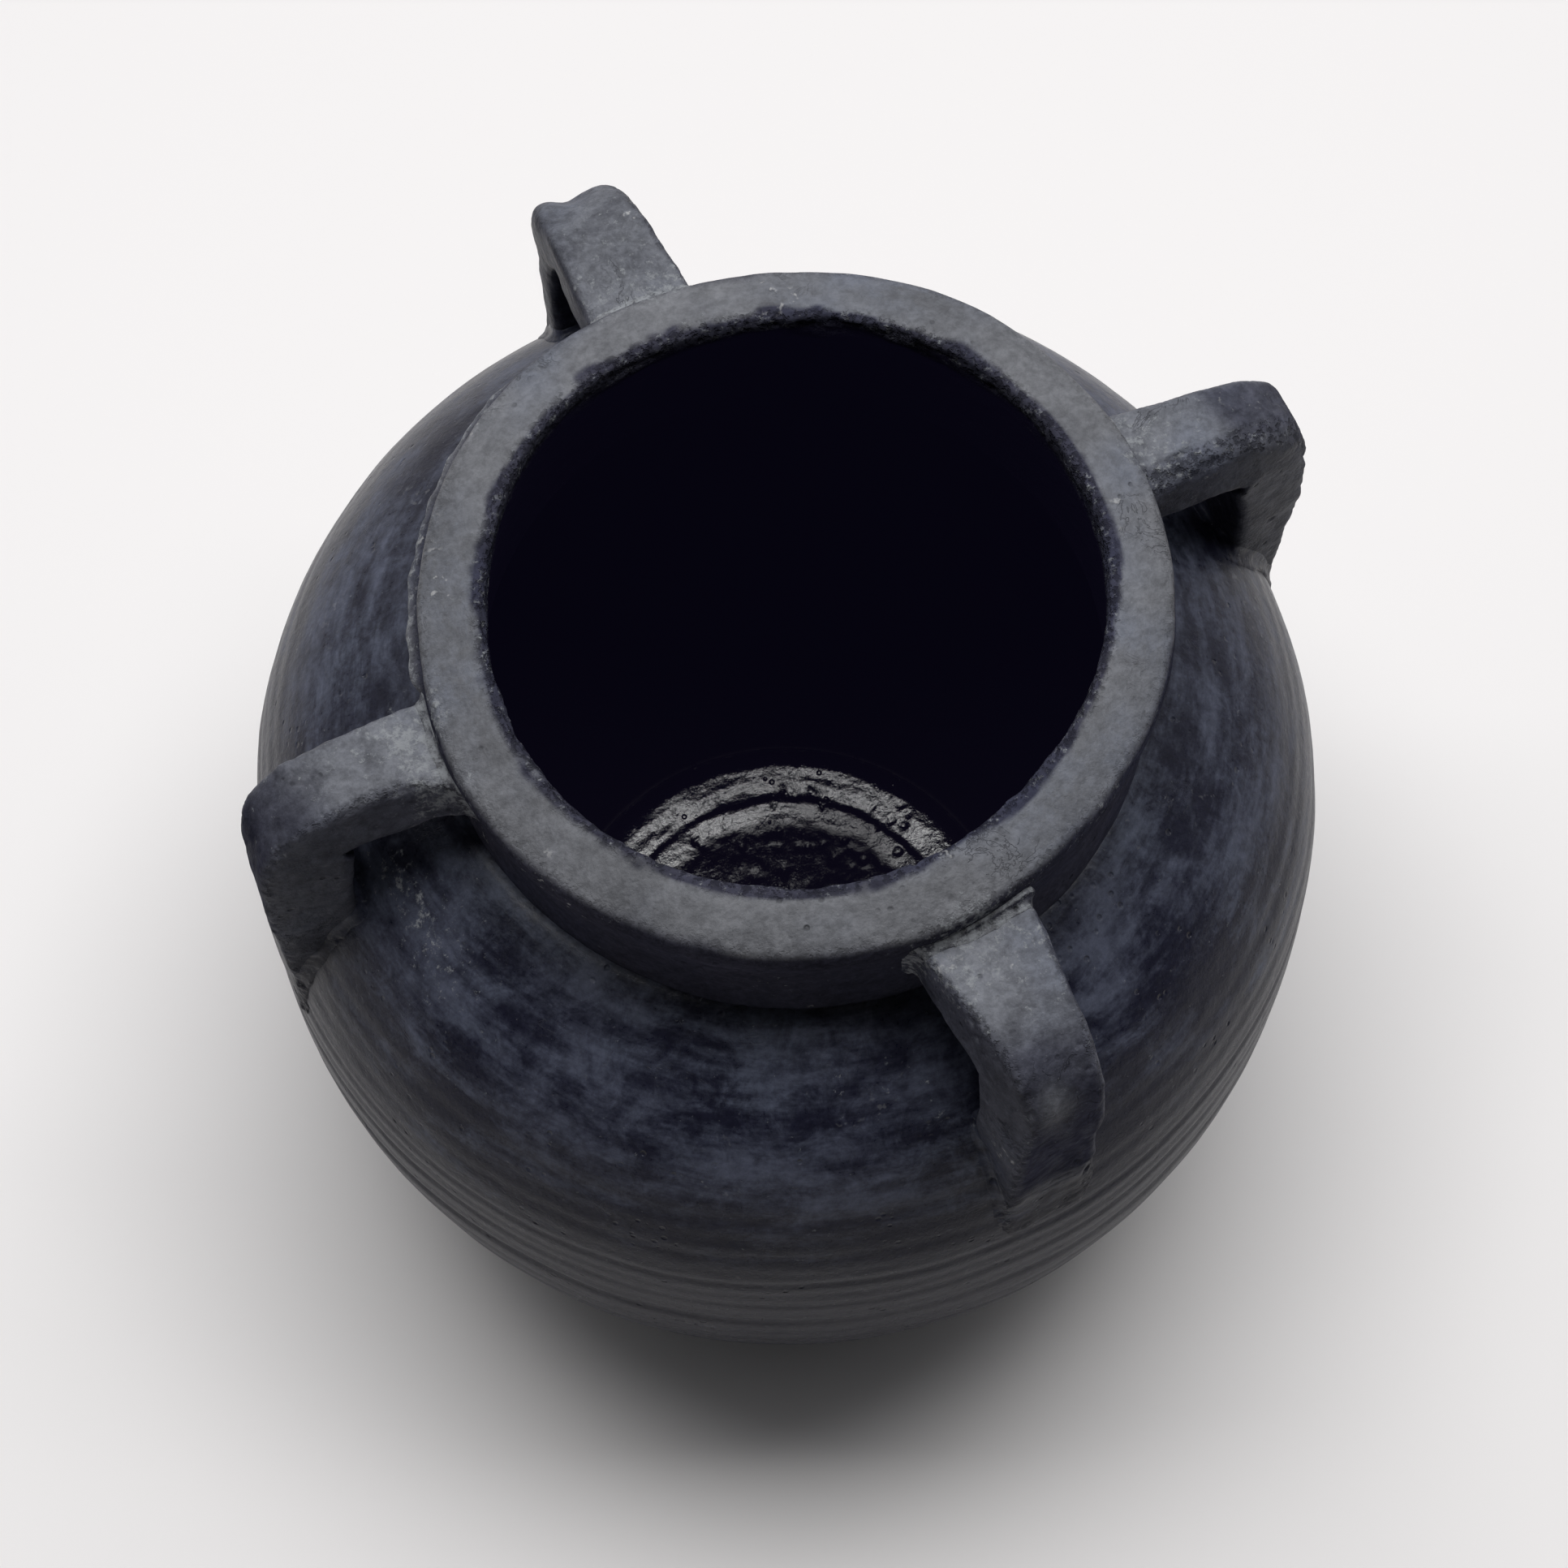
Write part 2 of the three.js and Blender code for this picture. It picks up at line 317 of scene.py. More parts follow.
def make_body():
    lower = wall_arc(BELLY_RADIUS, FOOT_RADIUS, BELLY_HEIGHT, LOWER_POWER, -1, 160)[::-1]
    upper = wall_arc(BELLY_RADIUS, SEAT_OUTER_RADIUS, SEAT_HEIGHT - BELLY_HEIGHT, UPPER_POWER, 1, 160)
    inner_radius = BELLY_RADIUS - WALL
    inside_high = wall_arc(
        inner_radius, SEAT_INNER_RADIUS, SEAT_HEIGHT - WALL - BELLY_HEIGHT, UPPER_POWER, 1, 80)[::-1]
    inside_low = wall_arc(inner_radius, FLOOR_RADIUS, BELLY_HEIGHT - FLOOR_EDGE_HEIGHT, LOWER_POWER, -1, 80)
    # The inner floor has two low crests left by the fingers, round a slightly domed middle.
    floor = rounded([
        [46, 8.5], [43, 7.4], [41.4, 8.2], [40.2, 8.9], [38.8, 8.95], [36.6, 8.6], [34.6, 8.25], [33.2, 8.0],
        [32.6, 8.1], [32.0, 8.25], [31.4, 8.2], [30.2, 8.0], [29.2, 7.8], [27.4, 7.5], [16, 7.9], [0, 8.2],
    ], 2)
    foot = [[0, 0.5], [36, 0.4], [40, 0.0], [44.5, 0.0]]
    under_seat = [[SEAT_INNER_RADIUS + 1.8, SEAT_HEIGHT - 1.5]]
    outline = np.vstack([
        resampled(foot, 3.0),
        resampled(np.vstack([lower[1:], upper[1:]]), 0.95),
        resampled([[57.2, SEAT_HEIGHT + 0.2], [SEAT_INNER_RADIUS + 2.4, SEAT_HEIGHT]], 2.4),
        resampled(np.vstack([under_seat, inside_high[3:], inside_low[1:]]), 3.2),
        resampled(floor, lambda r, z: 0.55 if r > 22 else 1.2),
    ])
    body = turned_wall("pot_body", outline, BODY_TURNS)
    p = vertex_places(body)
    n = vertex_normals(body)
    r, z = np.hypot(p[:, 0], p[:, 1]), p[:, 2]
    outwards = (n[:, 0] * p[:, 0] + n[:, 1] * p[:, 1]) / np.maximum(r, 1e-6)
    is_outer = ((outwards > 0) | (n[:, 2] > 0)) & (body_distance(p[:, 0], p[:, 1], z) > -1.0) & (z > 2)
    is_inner = ((body_distance(p[:, 0], p[:, 1], z) < -2.5) | (z > 130) & (r < 54)) & (z > 3)
    along = np.stack([p[:, 0] * 0.22, p[:, 1] * 0.22, z], -1)
    amount = np.zeros(len(p))
    wander = 0.9 * noise(p * [1, 1, 0.2], 70, 11)
    rings = np.zeros(len(p))
    for height, depth, width in GROOVES:
        fade = 0.65 + 0.45 * noise(p, 50, int(height))
        rings -= depth * fade * bell(z + wander, height, width)
    rings += 0.015 * noise(np.stack([z + wander, 0 * z, 0 * z], -1), 2.4, 5) * smooth(112, 96, z)
    lumps = 0.32 * noise(p, 34, 3) + 0.16 * noise(p, 13, 4)
    skin = 0.03 * fractal(along, 3.2, 6, 2) + 0.05 * fractal(p, 3.5, 7, 3)
    holes = 0.3 * pits(p, 5.5, 31, 0.05, 0.2)
    amount += np.where(is_outer, rings + lumps + skin - holes, 0)
    coarse = 0.5 * fractal(p, 7, 41, 4, 0.6) + 0.35 * fractal(along, 2.2, 43, 2)
    on_floor = is_inner & (z < 14)
    fine_floor = smooth(44, 40, r)
    heading = p[:, :2] / np.maximum(r, 1e-6)[:, None]
    ripples = np.stack([heading[:, 0] * 9, heading[:, 1] * 9, r], -1)
    worked = 0.3 * coarse - 0.3 * pits(p, 2.6, 45, 0.4)
    worked += 0.26 * fractal(ripples, 2.6, 44, 3, 0.6) * smooth(4, 16, r)
    worked += 0.16 * fractal(p, 1.9, 46, 2) * smooth(29, 26, r)
    amount += np.where(on_floor, worked * fine_floor, 0)
    amount += np.where(is_inner & ~on_floor, 0.3 * noise(p, 22, 47), 0)
    push(body, amount)
    paint(body, "inside", is_inner.astype(float))
    turn = np.degrees(np.arctan2(p[:, 1], p[:, 0]))
    # The floor's shine has worn off the inner crest on one side, and off the middle.
    worn = 0.6 * bell(turn, 34, 30) * smooth(34.5, 31.5, r)
    paint(body, "glaze", (0.3 + 0.7 * smooth(27, 29, r)) * (1 - worn) * smooth(44, 40, r) * on_floor)
    smear = np.zeros(len(p))
    for angle, reach, radius, wide, strength in SMEARS:
        gap = (turn - angle + 180) % 360 - 180
        here = strength * bell(gap, 0, reach) * bell(r, radius, wide)
        smear = np.maximum(smear, here * is_outer * (z > 84))
    paint(body, "crust", smear * (0.75 + 0.5 * noise(p, 9, 49)))
    return body


# ------------------------------------------------------------------ collar

COLLAR_TURNS = 760


def make_collar():
    corners = [
        [NECK_RADIUS - 1.5, SEAT_HEIGHT - 1.5], [NECK_RADIUS + 0.3, SEAT_HEIGHT - 0.8], [NECK_RADIUS, 145],
        [NECK_RADIUS - 0.3, 150], [NECK_RADIUS + 0.3, 156], [RIM_RADIUS - 0.5, 161],
        [RIM_RADIUS + 0.1, 164.5], [RIM_RADIUS - 0.3, RIM_HEIGHT - 2.9], [RIM_RADIUS - 2.2, RIM_HEIGHT - 1.9],
        [MOUTH_RADIUS + 5, RIM_HEIGHT - 0.7], [MOUTH_RADIUS + 1.2, RIM_HEIGHT + 0.1],
        [MOUTH_RADIUS - 0.3, RIM_HEIGHT - 0.6], [MOUTH_RADIUS - 0.3, RIM_HEIGHT - 5],
        [MOUTH_RADIUS + 0.5, 156], [SEAT_INNER_RADIUS - 0.2, SEAT_HEIGHT + 2],
        [SEAT_INNER_RADIUS - 0.2, SEAT_HEIGHT - 1.5],
    ]
    outline = rounded(corners, 3, closed=True)
    outline = np.vstack([outline, outline[:1]])
    outline = resampled(outline, lambda r, z: 0.4 if r > 56 and z > 160 else 0.55)[:-1]
    collar = turned_wall("pot_collar", outline, COLLAR_TURNS, COLLAR_CENTRE, closed=True)
    p = vertex_places(collar)
    x, y, z = p[:, 0] - COLLAR_CENTRE[0], p[:, 1] - COLLAR_CENTRE[1], p[:, 2]
    r, angle = np.hypot(x, y), np.arctan2(y, x)
    # The hand-shaped ring is a little out of round and its height wanders.
    sway = 0.45 * np.sin(2 * angle + 0.6) + 0.35 * np.sin(3 * angle + 2.1) + 0.25 * np.sin(5 * angle + 4.0)
    lift = 0.35 * np.sin(2 * angle + 2.2) + 0.25 * np.sin(3 * angle + 0.4)
    high = smooth(SEAT_HEIGHT, RIM_HEIGHT, z)
    p[:, 0] += x / r * sway * (0.3 + 0.7 * high)
    p[:, 1] += y / r * sway * (0.3 + 0.7 * high)
    p[:, 2] += lift * high
    collar.data.vertices.foreach_set("co", (p * MM).astype(np.float32).ravel())
    collar.data.update()
    along = np.stack([x * 0.25, y * 0.25, z], -1)
    combed = np.stack([x / r * 11, y / r * 11, r + z], -1)
    # A ridge of squeezed-out clay under the rim, between two of the handles.
    turn = np.degrees(angle)
    ridged = smooth(104, 116, turn) * smooth(171, 166, turn) * (r > 54)
    bead = ridged * bell(z + 0.5 * noise(along, 4.0, 64), 163.6, 1.0)
    inner_edge = bell(r, MOUTH_RADIUS, 2.2) * smooth(RIM_HEIGHT - 12, RIM_HEIGHT - 1.5, z)
    outer_edge = bell(r, RIM_RADIUS, 2.0) * smooth(RIM_HEIGHT - 10, RIM_HEIGHT - 4, z)
    outer_wall = smooth(RIM_HEIGHT - 4, RIM_HEIGHT - 8, z) * (r > 54)
    amount = 0.22 * noise(p, 16, 51) + 0.12 * fractal(p, 5, 52, 3)
    amount += 0.16 * fractal(along, 2.6, 53, 3) * (0.35 + inner_edge + outer_edge + 0.8 * outer_wall)
    wiped = 0.5 * fractal(p, 2.3, 54, 3) + 0.6 * fractal(combed, 1.5, 57, 2)
    amount += wiped * inner_edge * (0.75 + 0.4 * noise(p, 22, 55))
    amount += bead * (1.8 + 0.5 * noise(along, 4.0, 61) + 0.5 * fractal(p, 2.6, 62, 2))
    amount -= 0.9 * ridged * bell(z, 166.0, 0.7)
    amount -= 0.5 * pits(p, 3.4, 56, 0.10, 0.26)
    amount -= 0.5 * pits(p, 2.2, 58, 0.35, 0.4) * np.maximum(inner_edge, 0.6 * outer_wall)
    push(collar, amount)
    depth = z + 1.7 * noise(combed, 1.7, 63) + 0.7 * noise(p, 2.6, 65)
    paint(collar, "inside", smooth(RIM_HEIGHT - 1.8, RIM_HEIGHT - 6, depth) * (r < 53))
    crust = 0.45 * inner_edge + (0.15 + 0.3 * noise(p, 30, 59)) * outer_edge + 0.9 * bead
    for handle in HANDLES.values():
        gap = (turn - handle["angle"] + 180) % 360 - 180
        crust += handle["root_crust"] * bell(gap, 0, 10) * smooth(53, 57.5, r) * (0.6 + 0.6 * noise(p, 5, 68))
    paint(collar, "crust", crust)
    # Painted shade: the outer wall below the rim's top edge, where the rim overhangs the neck, and the groove
    # under the ridge are darkened, the raised bead mostly left out. The same layer darkens a ragged band at
    # the mouth's inner edge and the inner wall below it.
    groove = ridged * bell(z, 166.0, 0.9)
    painted_shade = smooth(RIM_HEIGHT - 2.3, RIM_HEIGHT - 4.2, z + 0.5 * noise(p, 6, 60))
    painted_shade *= (r > 54) * (1 - 0.8 * bead)
    reach = r + 1.1 * noise(combed, 1.5, 66) + 0.5 * noise(p, 1.8, 67)
    ragged = smooth(MOUTH_RADIUS + 2.2, MOUTH_RADIUS + 1.2, reach)
    paint(collar, "painted_shade", np.maximum(painted_shade, np.maximum(groove, ragged)))
    edge = inner_edge * smooth(MOUTH_RADIUS + 3.5, MOUTH_RADIUS + 1, r)
    paint(collar, "pebbled", 0.75 * edge + 0.35 * outer_edge)
    return collar


# ------------------------------------------------------------------ handles

# Each strap's middle line (path) runs out from the collar, turns down and ends on the shoulder; its
# points are [distance from the collar's axis, height]. Each row of `form` gives the section at a share
# of the way along: depth to the inner face, depth to the outer face, then for the clockwise side and
# for the other side [edge of inner face, bevel edge, edge of outer face, drop from outer face to bevel
# edge], measured sideways from the middle line. `marks` are lumps and dents:
# ([outwards, sideways, height], reach in each direction, rise).
# `crumble` is how torn each side's bevel is, `root_crust` how much dry crust lies where the strap leaves
# the collar, and `lit` how much less painted shade the side faces get than the rest, which is painted light
# from the sides. The pale top gets more crust and no painted shade; it fades from `pale_to` outwards, and
# `pale_at` adds pale places left out of the painted shade: (place, reach, strength), as in `marks`.
HANDLES = {
    "right": dict(
        angle=3.0, seed=101, crumble=(1.0, 0.15), root_crust=0.7, lit=0.6,
        path=[(52, 156.2), (62, 156.9), (75, 156.9), (81.2, 155.2), (84.0, 150), (84.6, 139), (83.4, 125),
              (82.2, 112), (81, 104)],
        form=[
            (0.00, 6.1, 6.1, [9.0, 8.0, 5.0, 2.2], [9.0, 8.6, 8.0, 1.2]),
            (0.08, 6.1, 6.1, [9.0, 8.0, 4.6, 2.2], [8.9, 8.2, 7.6, 1.2]),
            (0.25, 6.1, 6.1, [9.6, 8.2, 5.4, 2.2], [8.0, 5.1, 4.1, 1.2]),
            (0.36, 7.6, 6.1, [10.2, 8.6, 5.4, 2.2], [7.6, 3.8, 2.8, 1.2]),
            (0.45, 8.8, 6.1, [10.0, 8.8, 5.8, 1.8], [7.6, 3.4, 2.4, 1.6]),
            (0.56, 7.6, 6.1, [9.8, 9.0, 6.4, 1.1], [7.6, 3.4, 2.4, 1.6]),
            (0.74, 6.1, 6.1, [9.6, 9.0, 7.0, 0.6], [8.0, 5.0, 4.0, 1.2]),
            (1.00, 6.1, 6.1, [9.6, 9.0, 7.0, 0.6], [8.5, 6.0, 4.5, 1.2]),
        ],
        pale_to=71,
        marks=[
            ([66.5, -4.4, 163.0], [2.2, 0.5, 1.5], -1.0), ([86.0, 3.6, 160.5], [1.0, 1.2, 1.0], -0.9),
            ([70.0, 0.0, 163.0], [6.0, 2.6, 3.0], -0.35), ([76.0, 1.5, 163.0], [5.0, 2.4, 3.0], 0.35),
        ]),
    "back": dict(
        angle=89.0, seed=202, crumble=(0.7, 0.3), root_crust=0.6, lit=0.6,
        path=[(52, 156.7), (62, 157.4), (73, 157.4), (78.6, 155.4), (81.4, 150), (82, 139), (81.2, 125),
              (80.4, 112), (79.6, 104)],
        form=[
            (0.00, 6.1, 6.1, [9.4, 9.0, 8.6, 1.2], [9.4, 9.4, 8.8, 0.8]),
            (0.15, 6.1, 6.1, [8.8, 8.2, 7.6, 1.3], [9.0, 9.0, 8.0, 0.8]),
            (0.25, 6.1, 6.1, [8.6, 7.5, 6.7, 1.4], [8.6, 9.0, 7.6, 0.8]),
            (0.36, 4.8, 6.1, [8.2, 6.5, 5.1, 1.4], [8.6, 9.0, 7.8, 1.2]),
            (0.45, 3.2, 6.1, [8.2, 6.3, 4.8, 1.4], [9.0, 9.0, 7.0, 2.6]),
            (0.56, 3.2, 6.1, [8.0, 6.3, 4.8, 1.2], [9.2, 9.0, 6.5, 3.2]),
            (0.74, 3.8, 6.1, [8.0, 6.6, 5.2, 1.0], [9.2, 9.0, 6.5, 3.2]),
            (1.00, 4.8, 6.1, [8.4, 7.0, 6.0, 1.0], [9.2, 9.0, 7.0, 2.5]),
        ],
        pale_to=90,
        marks=[
            ([87.0, -2.6, 154.5], [5.0, 3.6, 6.0], 1.1), ([86.0, 6.2, 155.0], [5.0, 2.6, 5.0], 1.1),
            ([70.0, 6.0, 163.5], [7.0, 1.3, 3.0], -0.7), ([80.0, 5.2, 162.0], [5.0, 1.5, 3.0], -0.6),
            ([71.5, -1.2, 163.5], [0.8, 0.8, 2.0], -0.9), ([84.5, 2.2, 158.0], [5.0, 2.0, 6.0], -0.4),
        ]),
    "left": dict(
        angle=177.0, seed=303, crumble=(0.45, 0.8), root_crust=1.0, lit=0.55,
        path=[(52, 156.2), (62, 156.9), (76, 156.9), (82.2, 154.8), (84.8, 149.5), (85.4, 139), (85.2, 125),
              (84.9, 112), (84.7, 105.5)],
        form=[
            (0.00, 6.1, 6.2, [8.4, 8.2, 7.8, 0.8], [9.0, 9.2, 9.0, 0.8]),
            (0.08, 6.1, 6.2, [8.3, 8.1, 7.7, 0.8], [8.6, 8.8, 8.5, 0.8]),
            (0.14, 6.1, 6.2, [8.2, 7.9, 7.4, 0.8], [7.6, 5.9, 5.0, 0.8]),
            (0.25, 6.1, 6.2, [8.0, 7.6, 6.9, 0.8], [7.0, 5.3, 4.5, 0.8]),
            (0.36, 7.8, 6.2, [8.0, 7.2, 6.3, 1.4], [6.9, 6.3, 5.6, 0.8]),
            (0.45, 9.0, 6.2, [8.0, 6.8, 4.4, 2.4], [7.4, 7.2, 6.5, 0.8]),
            (0.56, 8.4, 6.2, [8.0, 7.0, 4.5, 1.8], [8.0, 7.6, 7.0, 0.8]),
            (0.74, 7.6, 6.2, [9.0, 8.0, 6.0, 1.2], [8.0, 7.8, 7.2, 0.8]),
            (1.00, 8.0, 6.2, [11.0, 10.0, 8.0, 1.2], [7.5, 7.2, 6.6, 0.8]),
        ],
        pale_to=76,
        marks=[
            ([82.0, -5.4, 161.5], [1.3, 1.3, 1.3], 0.7), ([91.2, -1.0, 145.0], [1.2, 1.5, 1.5], -0.9),
            ([79.0, -1.0, 163.0], [1.6, 3.5, 2.0], -0.35), ([70.0, -3.0, 163.0], [8.0, 2.4, 3.0], 0.3),
            ([72.0, 6.2, 157.0], [5.0, 2.0, 3.0], -0.5),
        ]),
    "front": dict(
        angle=273.0, seed=404, crumble=(0.8, 0.6), root_crust=0.7, lit=0.4,
        path=[(52, 155.2), (62, 155.9), (74, 155.9), (79.6, 153.8), (82.0, 148.5), (82.6, 138), (82.2, 125),
              (81.6, 112), (81.0, 104)],
        form=[
            (0.00, 6.1, 6.1, [9.6, 10.4, 10.0, 0.9], [10.0, 9.8, 9.3, 0.9]),
            (0.15, 6.1, 6.1, [9.2, 8.9, 8.3, 0.9], [9.4, 9.1, 8.4, 0.9]),
            (0.25, 6.1, 6.1, [9.2, 7.6, 6.8, 0.9], [9.0, 8.3, 7.5, 0.9]),
            (0.36, 6.8, 6.1, [9.1, 6.4, 5.4, 0.9], [8.6, 7.5, 6.5, 0.9]),
            (0.45, 7.2, 6.1, [9.3, 6.8, 5.8, 0.9], [8.4, 7.2, 6.3, 0.9]),
            (0.56, 6.1, 6.1, [9.3, 8.2, 7.4, 0.8], [8.2, 7.2, 6.5, 0.8]),
            (0.74, 6.1, 6.1, [8.8, 8.4, 7.8, 0.6], [8.0, 7.0, 6.4, 0.7]),
            (1.00, 6.1, 6.1, [8.6, 8.4, 7.8, 0.6], [8.0, 6.6, 6.0, 0.6]),
        ],
        pale_to=74,
        pale_at=[
            ([86.5, -1.6, 154.0], [4.0, 3.0, 5.5], 1.0), ([86.5, -1.0, 114.0], [4.0, 6.0, 4.0], 0.7),
        ],
        marks=[
            ([88.0, 1.5, 116.0], [1.2, 1.4, 0.9], -1.8), ([88.0, 4.5, 121.0], [2.5, 4.0, 2.2], 0.8),
            ([72.0, 1.0, 162.5], [6.0, 4.0, 3.0], 0.3),
        ]),
}
STEP = 0.45            # spacing of the grid that straps and luting clay are carved from
LUTING_START = 141.5   # above this height the luting clay belongs to the collar's end


def spline(points, count):
    """A smooth line through the points, at even steps."""
    p = np.asarray(points, float)
    p = np.vstack([2 * p[0] - p[1], p, 2 * p[-1] - p[-2]])
    out = []
    for k in range(1, len(p) - 2):
        t = np.linspace(0, 1, 40, endpoint=False)[:, None]
        a, b, c, d = p[k - 1], p[k], p[k + 1], p[k + 2]
        square, cube = 2 * a - 5 * b + 4 * c - d, 3 * b - a - 3 * c + d
        out.append(0.5 * (2 * b + (c - a) * t + square * t ** 2 + cube * t ** 3))
    return resampled(np.vstack([*out, p[-2:-1]]), 100.0 / count)


def soft_union(a, b, reach):
    h = np.clip(reach - np.abs(a - b), 0, None) / reach
    return np.minimum(a, b) - h * h * reach / 4


def soft_most(parts, reach):
    """The greatest of the parts, with the corners between them rounded off."""
    most = parts[0]
    for part in parts[1:]:
        most = -soft_union(-most, -part, reach)
    return most


def along_strap(handle, u, z):
    """How far along the strap's middle line each place is, 0 to 1, and how far outside it."""
    path = spline(handle["path"], 130)
    gap = (u[..., None] - path[:, 0]) ** 2 + (z[..., None] - path[:, 1]) ** 2
    near = np.argmin(gap, axis=-1)
    run = np.gradient(path, axis=0)
    run /= np.linalg.norm(run, axis=1)[:, None]
    out = (path[near, 0] - u) * run[near, 1] + (z - path[near, 1]) * run[near, 0]
    return near / (len(path) - 1.0), out


def strap_section(handle, t, out, across):
    """Distance outside the strap, and how much of each side's bevel is here."""
    rows = handle["form"]
    stops = [row[0] for row in rows]
    inner, outer = (np.interp(t, stops, [row[k] for row in rows]) for k in (1, 2))
    sides, bevels = [-out - inner], []
    for k, sign in ((3, -1), (4, 1)):
        low, bevel, top, drop = (np.interp(t, stops, [row[k][j] for row in rows]) for j in range(4))
        tall, edge = inner + outer - drop, sign * across
        sides.append(((edge - low) * tall - (out + inner) * (bevel - low)) / np.hypot(tall, bevel - low))
        slope = ((edge - bevel) * drop + (out - outer + drop) * (bevel - top)) / np.hypot(drop, bevel - top)
        bevels.append(slope)
    block = soft_most(sides, 2.4)
    faces = soft_most([out - outer - 0.35 * (across / 8.0) ** 2 + 0.2, *bevels], 1.3)
    shares = [smooth(-0.9, 0.1, slope - np.maximum(block, out - outer)) for slope in bevels]
    return soft_most([block, faces], 1.5), shares


def nearness(at, place, reach):
    """1 at a place and less away from it, for coordinates `at` and a reach in each direction."""
    far = [((here - middle) / width) ** 2 for here, middle, width in zip(at, place, reach)]
    return np.exp(-(far[0] + far[1] + far[2]))


def make_handle(name, handle):
    u = np.arange(49.0, 98.0, STEP)
    v = np.arange(-17.0, 17.0, STEP)
    z = np.arange(94.0, 170.0, STEP)
    a, b = math.cos(math.radians(handle["angle"])), math.sin(math.radians(handle["angle"]))
    seed = handle["seed"]

    def to_part(u, v, z):
        return COLLAR_CENTRE[0] + u * a - v * b, COLLAR_CENTRE[1] + u * b + v * a, z

    def from_part(p):
        x, y = p[:, 0] - COLLAR_CENTRE[0], p[:, 1] - COLLAR_CENTRE[1]
        return x * a + y * b, y * a - x * b, p[:, 2]

    uu, vv, zz = np.meshgrid(u, v, z, indexing="ij")
    x, y, _ = to_part(uu, vv, zz)
    places = np.stack([x, y, zz], -1)
    t, out = along_strap(handle, *np.meshgrid(u, z, indexing="ij"))
    strap, _ = strap_section(handle, t[:, None, :], out[:, None, :], vv)
    strap = strap + 0.34 * noise(places, 9, seed) + 0.16 * noise(places, 4.2, seed + 1)
    for place, reach, rise in handle["marks"]:
        strap = strap - rise * nearness((uu, vv, zz), place, reach)
    body = body_distance(x, y, zz)
    collar = collar_distance(x, y, zz)
    spread = noise(places, 5, seed + 2)
    made = []

    def finished(piece, distance, rough, dusty, darkened=1.0):
        """Meshes a volume, roughens it and marks where it is torn and where painted shade darkens it."""
        points, quads = carved(distance, np.array([u[0], v[0], z[0]]), STEP)
        px, py, pz = to_part(points[:, 0], points[:, 1], points[:, 2])
        obj = mesh_object(piece, np.stack([px, py, pz], -1), quads)
        p = vertex_places(obj)
        pu, pv, pz = from_part(p)
        share, depth = along_strap(handle, pu, pz)
        _, bevels = strap_section(handle, share, depth, pv)
        torn = sum(amount * bevel for amount, bevel in zip(handle["crumble"], bevels))
        crumbs = grains(p, 1.9, seed + 6)[0] - 0.55
        amount = rough * (0.18 * fractal(p, 3.0, seed + 3, 3) - 0.4 * pits(p, 3.4, seed + 4, 0.14, 0.3))
        amount += torn * (0.34 * fractal(p, 2.0, seed + 5, 3) - 0.4 * crumbs)
        push(obj, amount)
        uneven = 2.5 * noise(p, 7, seed + 7)
        # The pale top: upturned faces high on the strap, which get more crust and no painted shade.
        pale = smooth(0.35, 0.8, vertex_normals(obj)[:, 2]) * smooth(148, 158, pz + uneven)
        pale *= 1 - 0.75 * smooth(handle["pale_to"], handle["pale_to"] + 8, pu + uneven)
        for place, reach, strength in handle.get("pale_at", []):
            pale = np.maximum(pale, strength * nearness((pu, pv, pz), place, reach))
        pale *= 1 - 0.5 * torn
        root = handle["root_crust"] * smooth(73, 60, pu) * (0.6 + 0.6 * noise(p, 5, seed + 8))
        paint(obj, "crust", dusty * (0.4 + 0.6 * pale) + 0.25 * torn + root * (pz > 141))
        # Painted shade on all but the pale top, less on faces turned sideways: `lit` stands in for light from
        # the sides.
        sideways = np.abs(vertex_normals(obj) @ np.array([-b, a, 0])) * (0.5 + 0.5 * smooth(68, 82, pu))
        paint(obj, "painted_shade", darkened * (1 - pale) * (1 - handle["lit"] * sideways))
        paint(obj, "pebbled", 0.6 * torn)
        made.append(obj)
        return obj

    walls = np.minimum(body, collar)
    finished(f"strap_{name}", np.maximum(strap, -(walls + 3.0)), 1.0, 0.28)
    upper = np.broadcast_to(zz > LUTING_START, strap.shape)
    for end, wall, mine, reach in (("rim", collar, upper, 2.4), ("shoulder", body, ~upper, 2.2)):
        joined = soft_union(strap, wall, reach) - 0.04
        piece = np.maximum.reduce([
            joined,
            -(wall + 1.2),
            -(strap + 1.6),
            strap - (0.75 * reach + 0.8 * spread),
            wall - (0.75 * reach + 0.8 * spread),
            np.where(mine, -1.0, 3.0),
        ])
        finished(f"luting_{name}_{end}", piece, 1.2, *((0.9, 1.0) if end == "rim" else (0.5, 0.5)))
    return made


# ------------------------------------------------------------------ materials

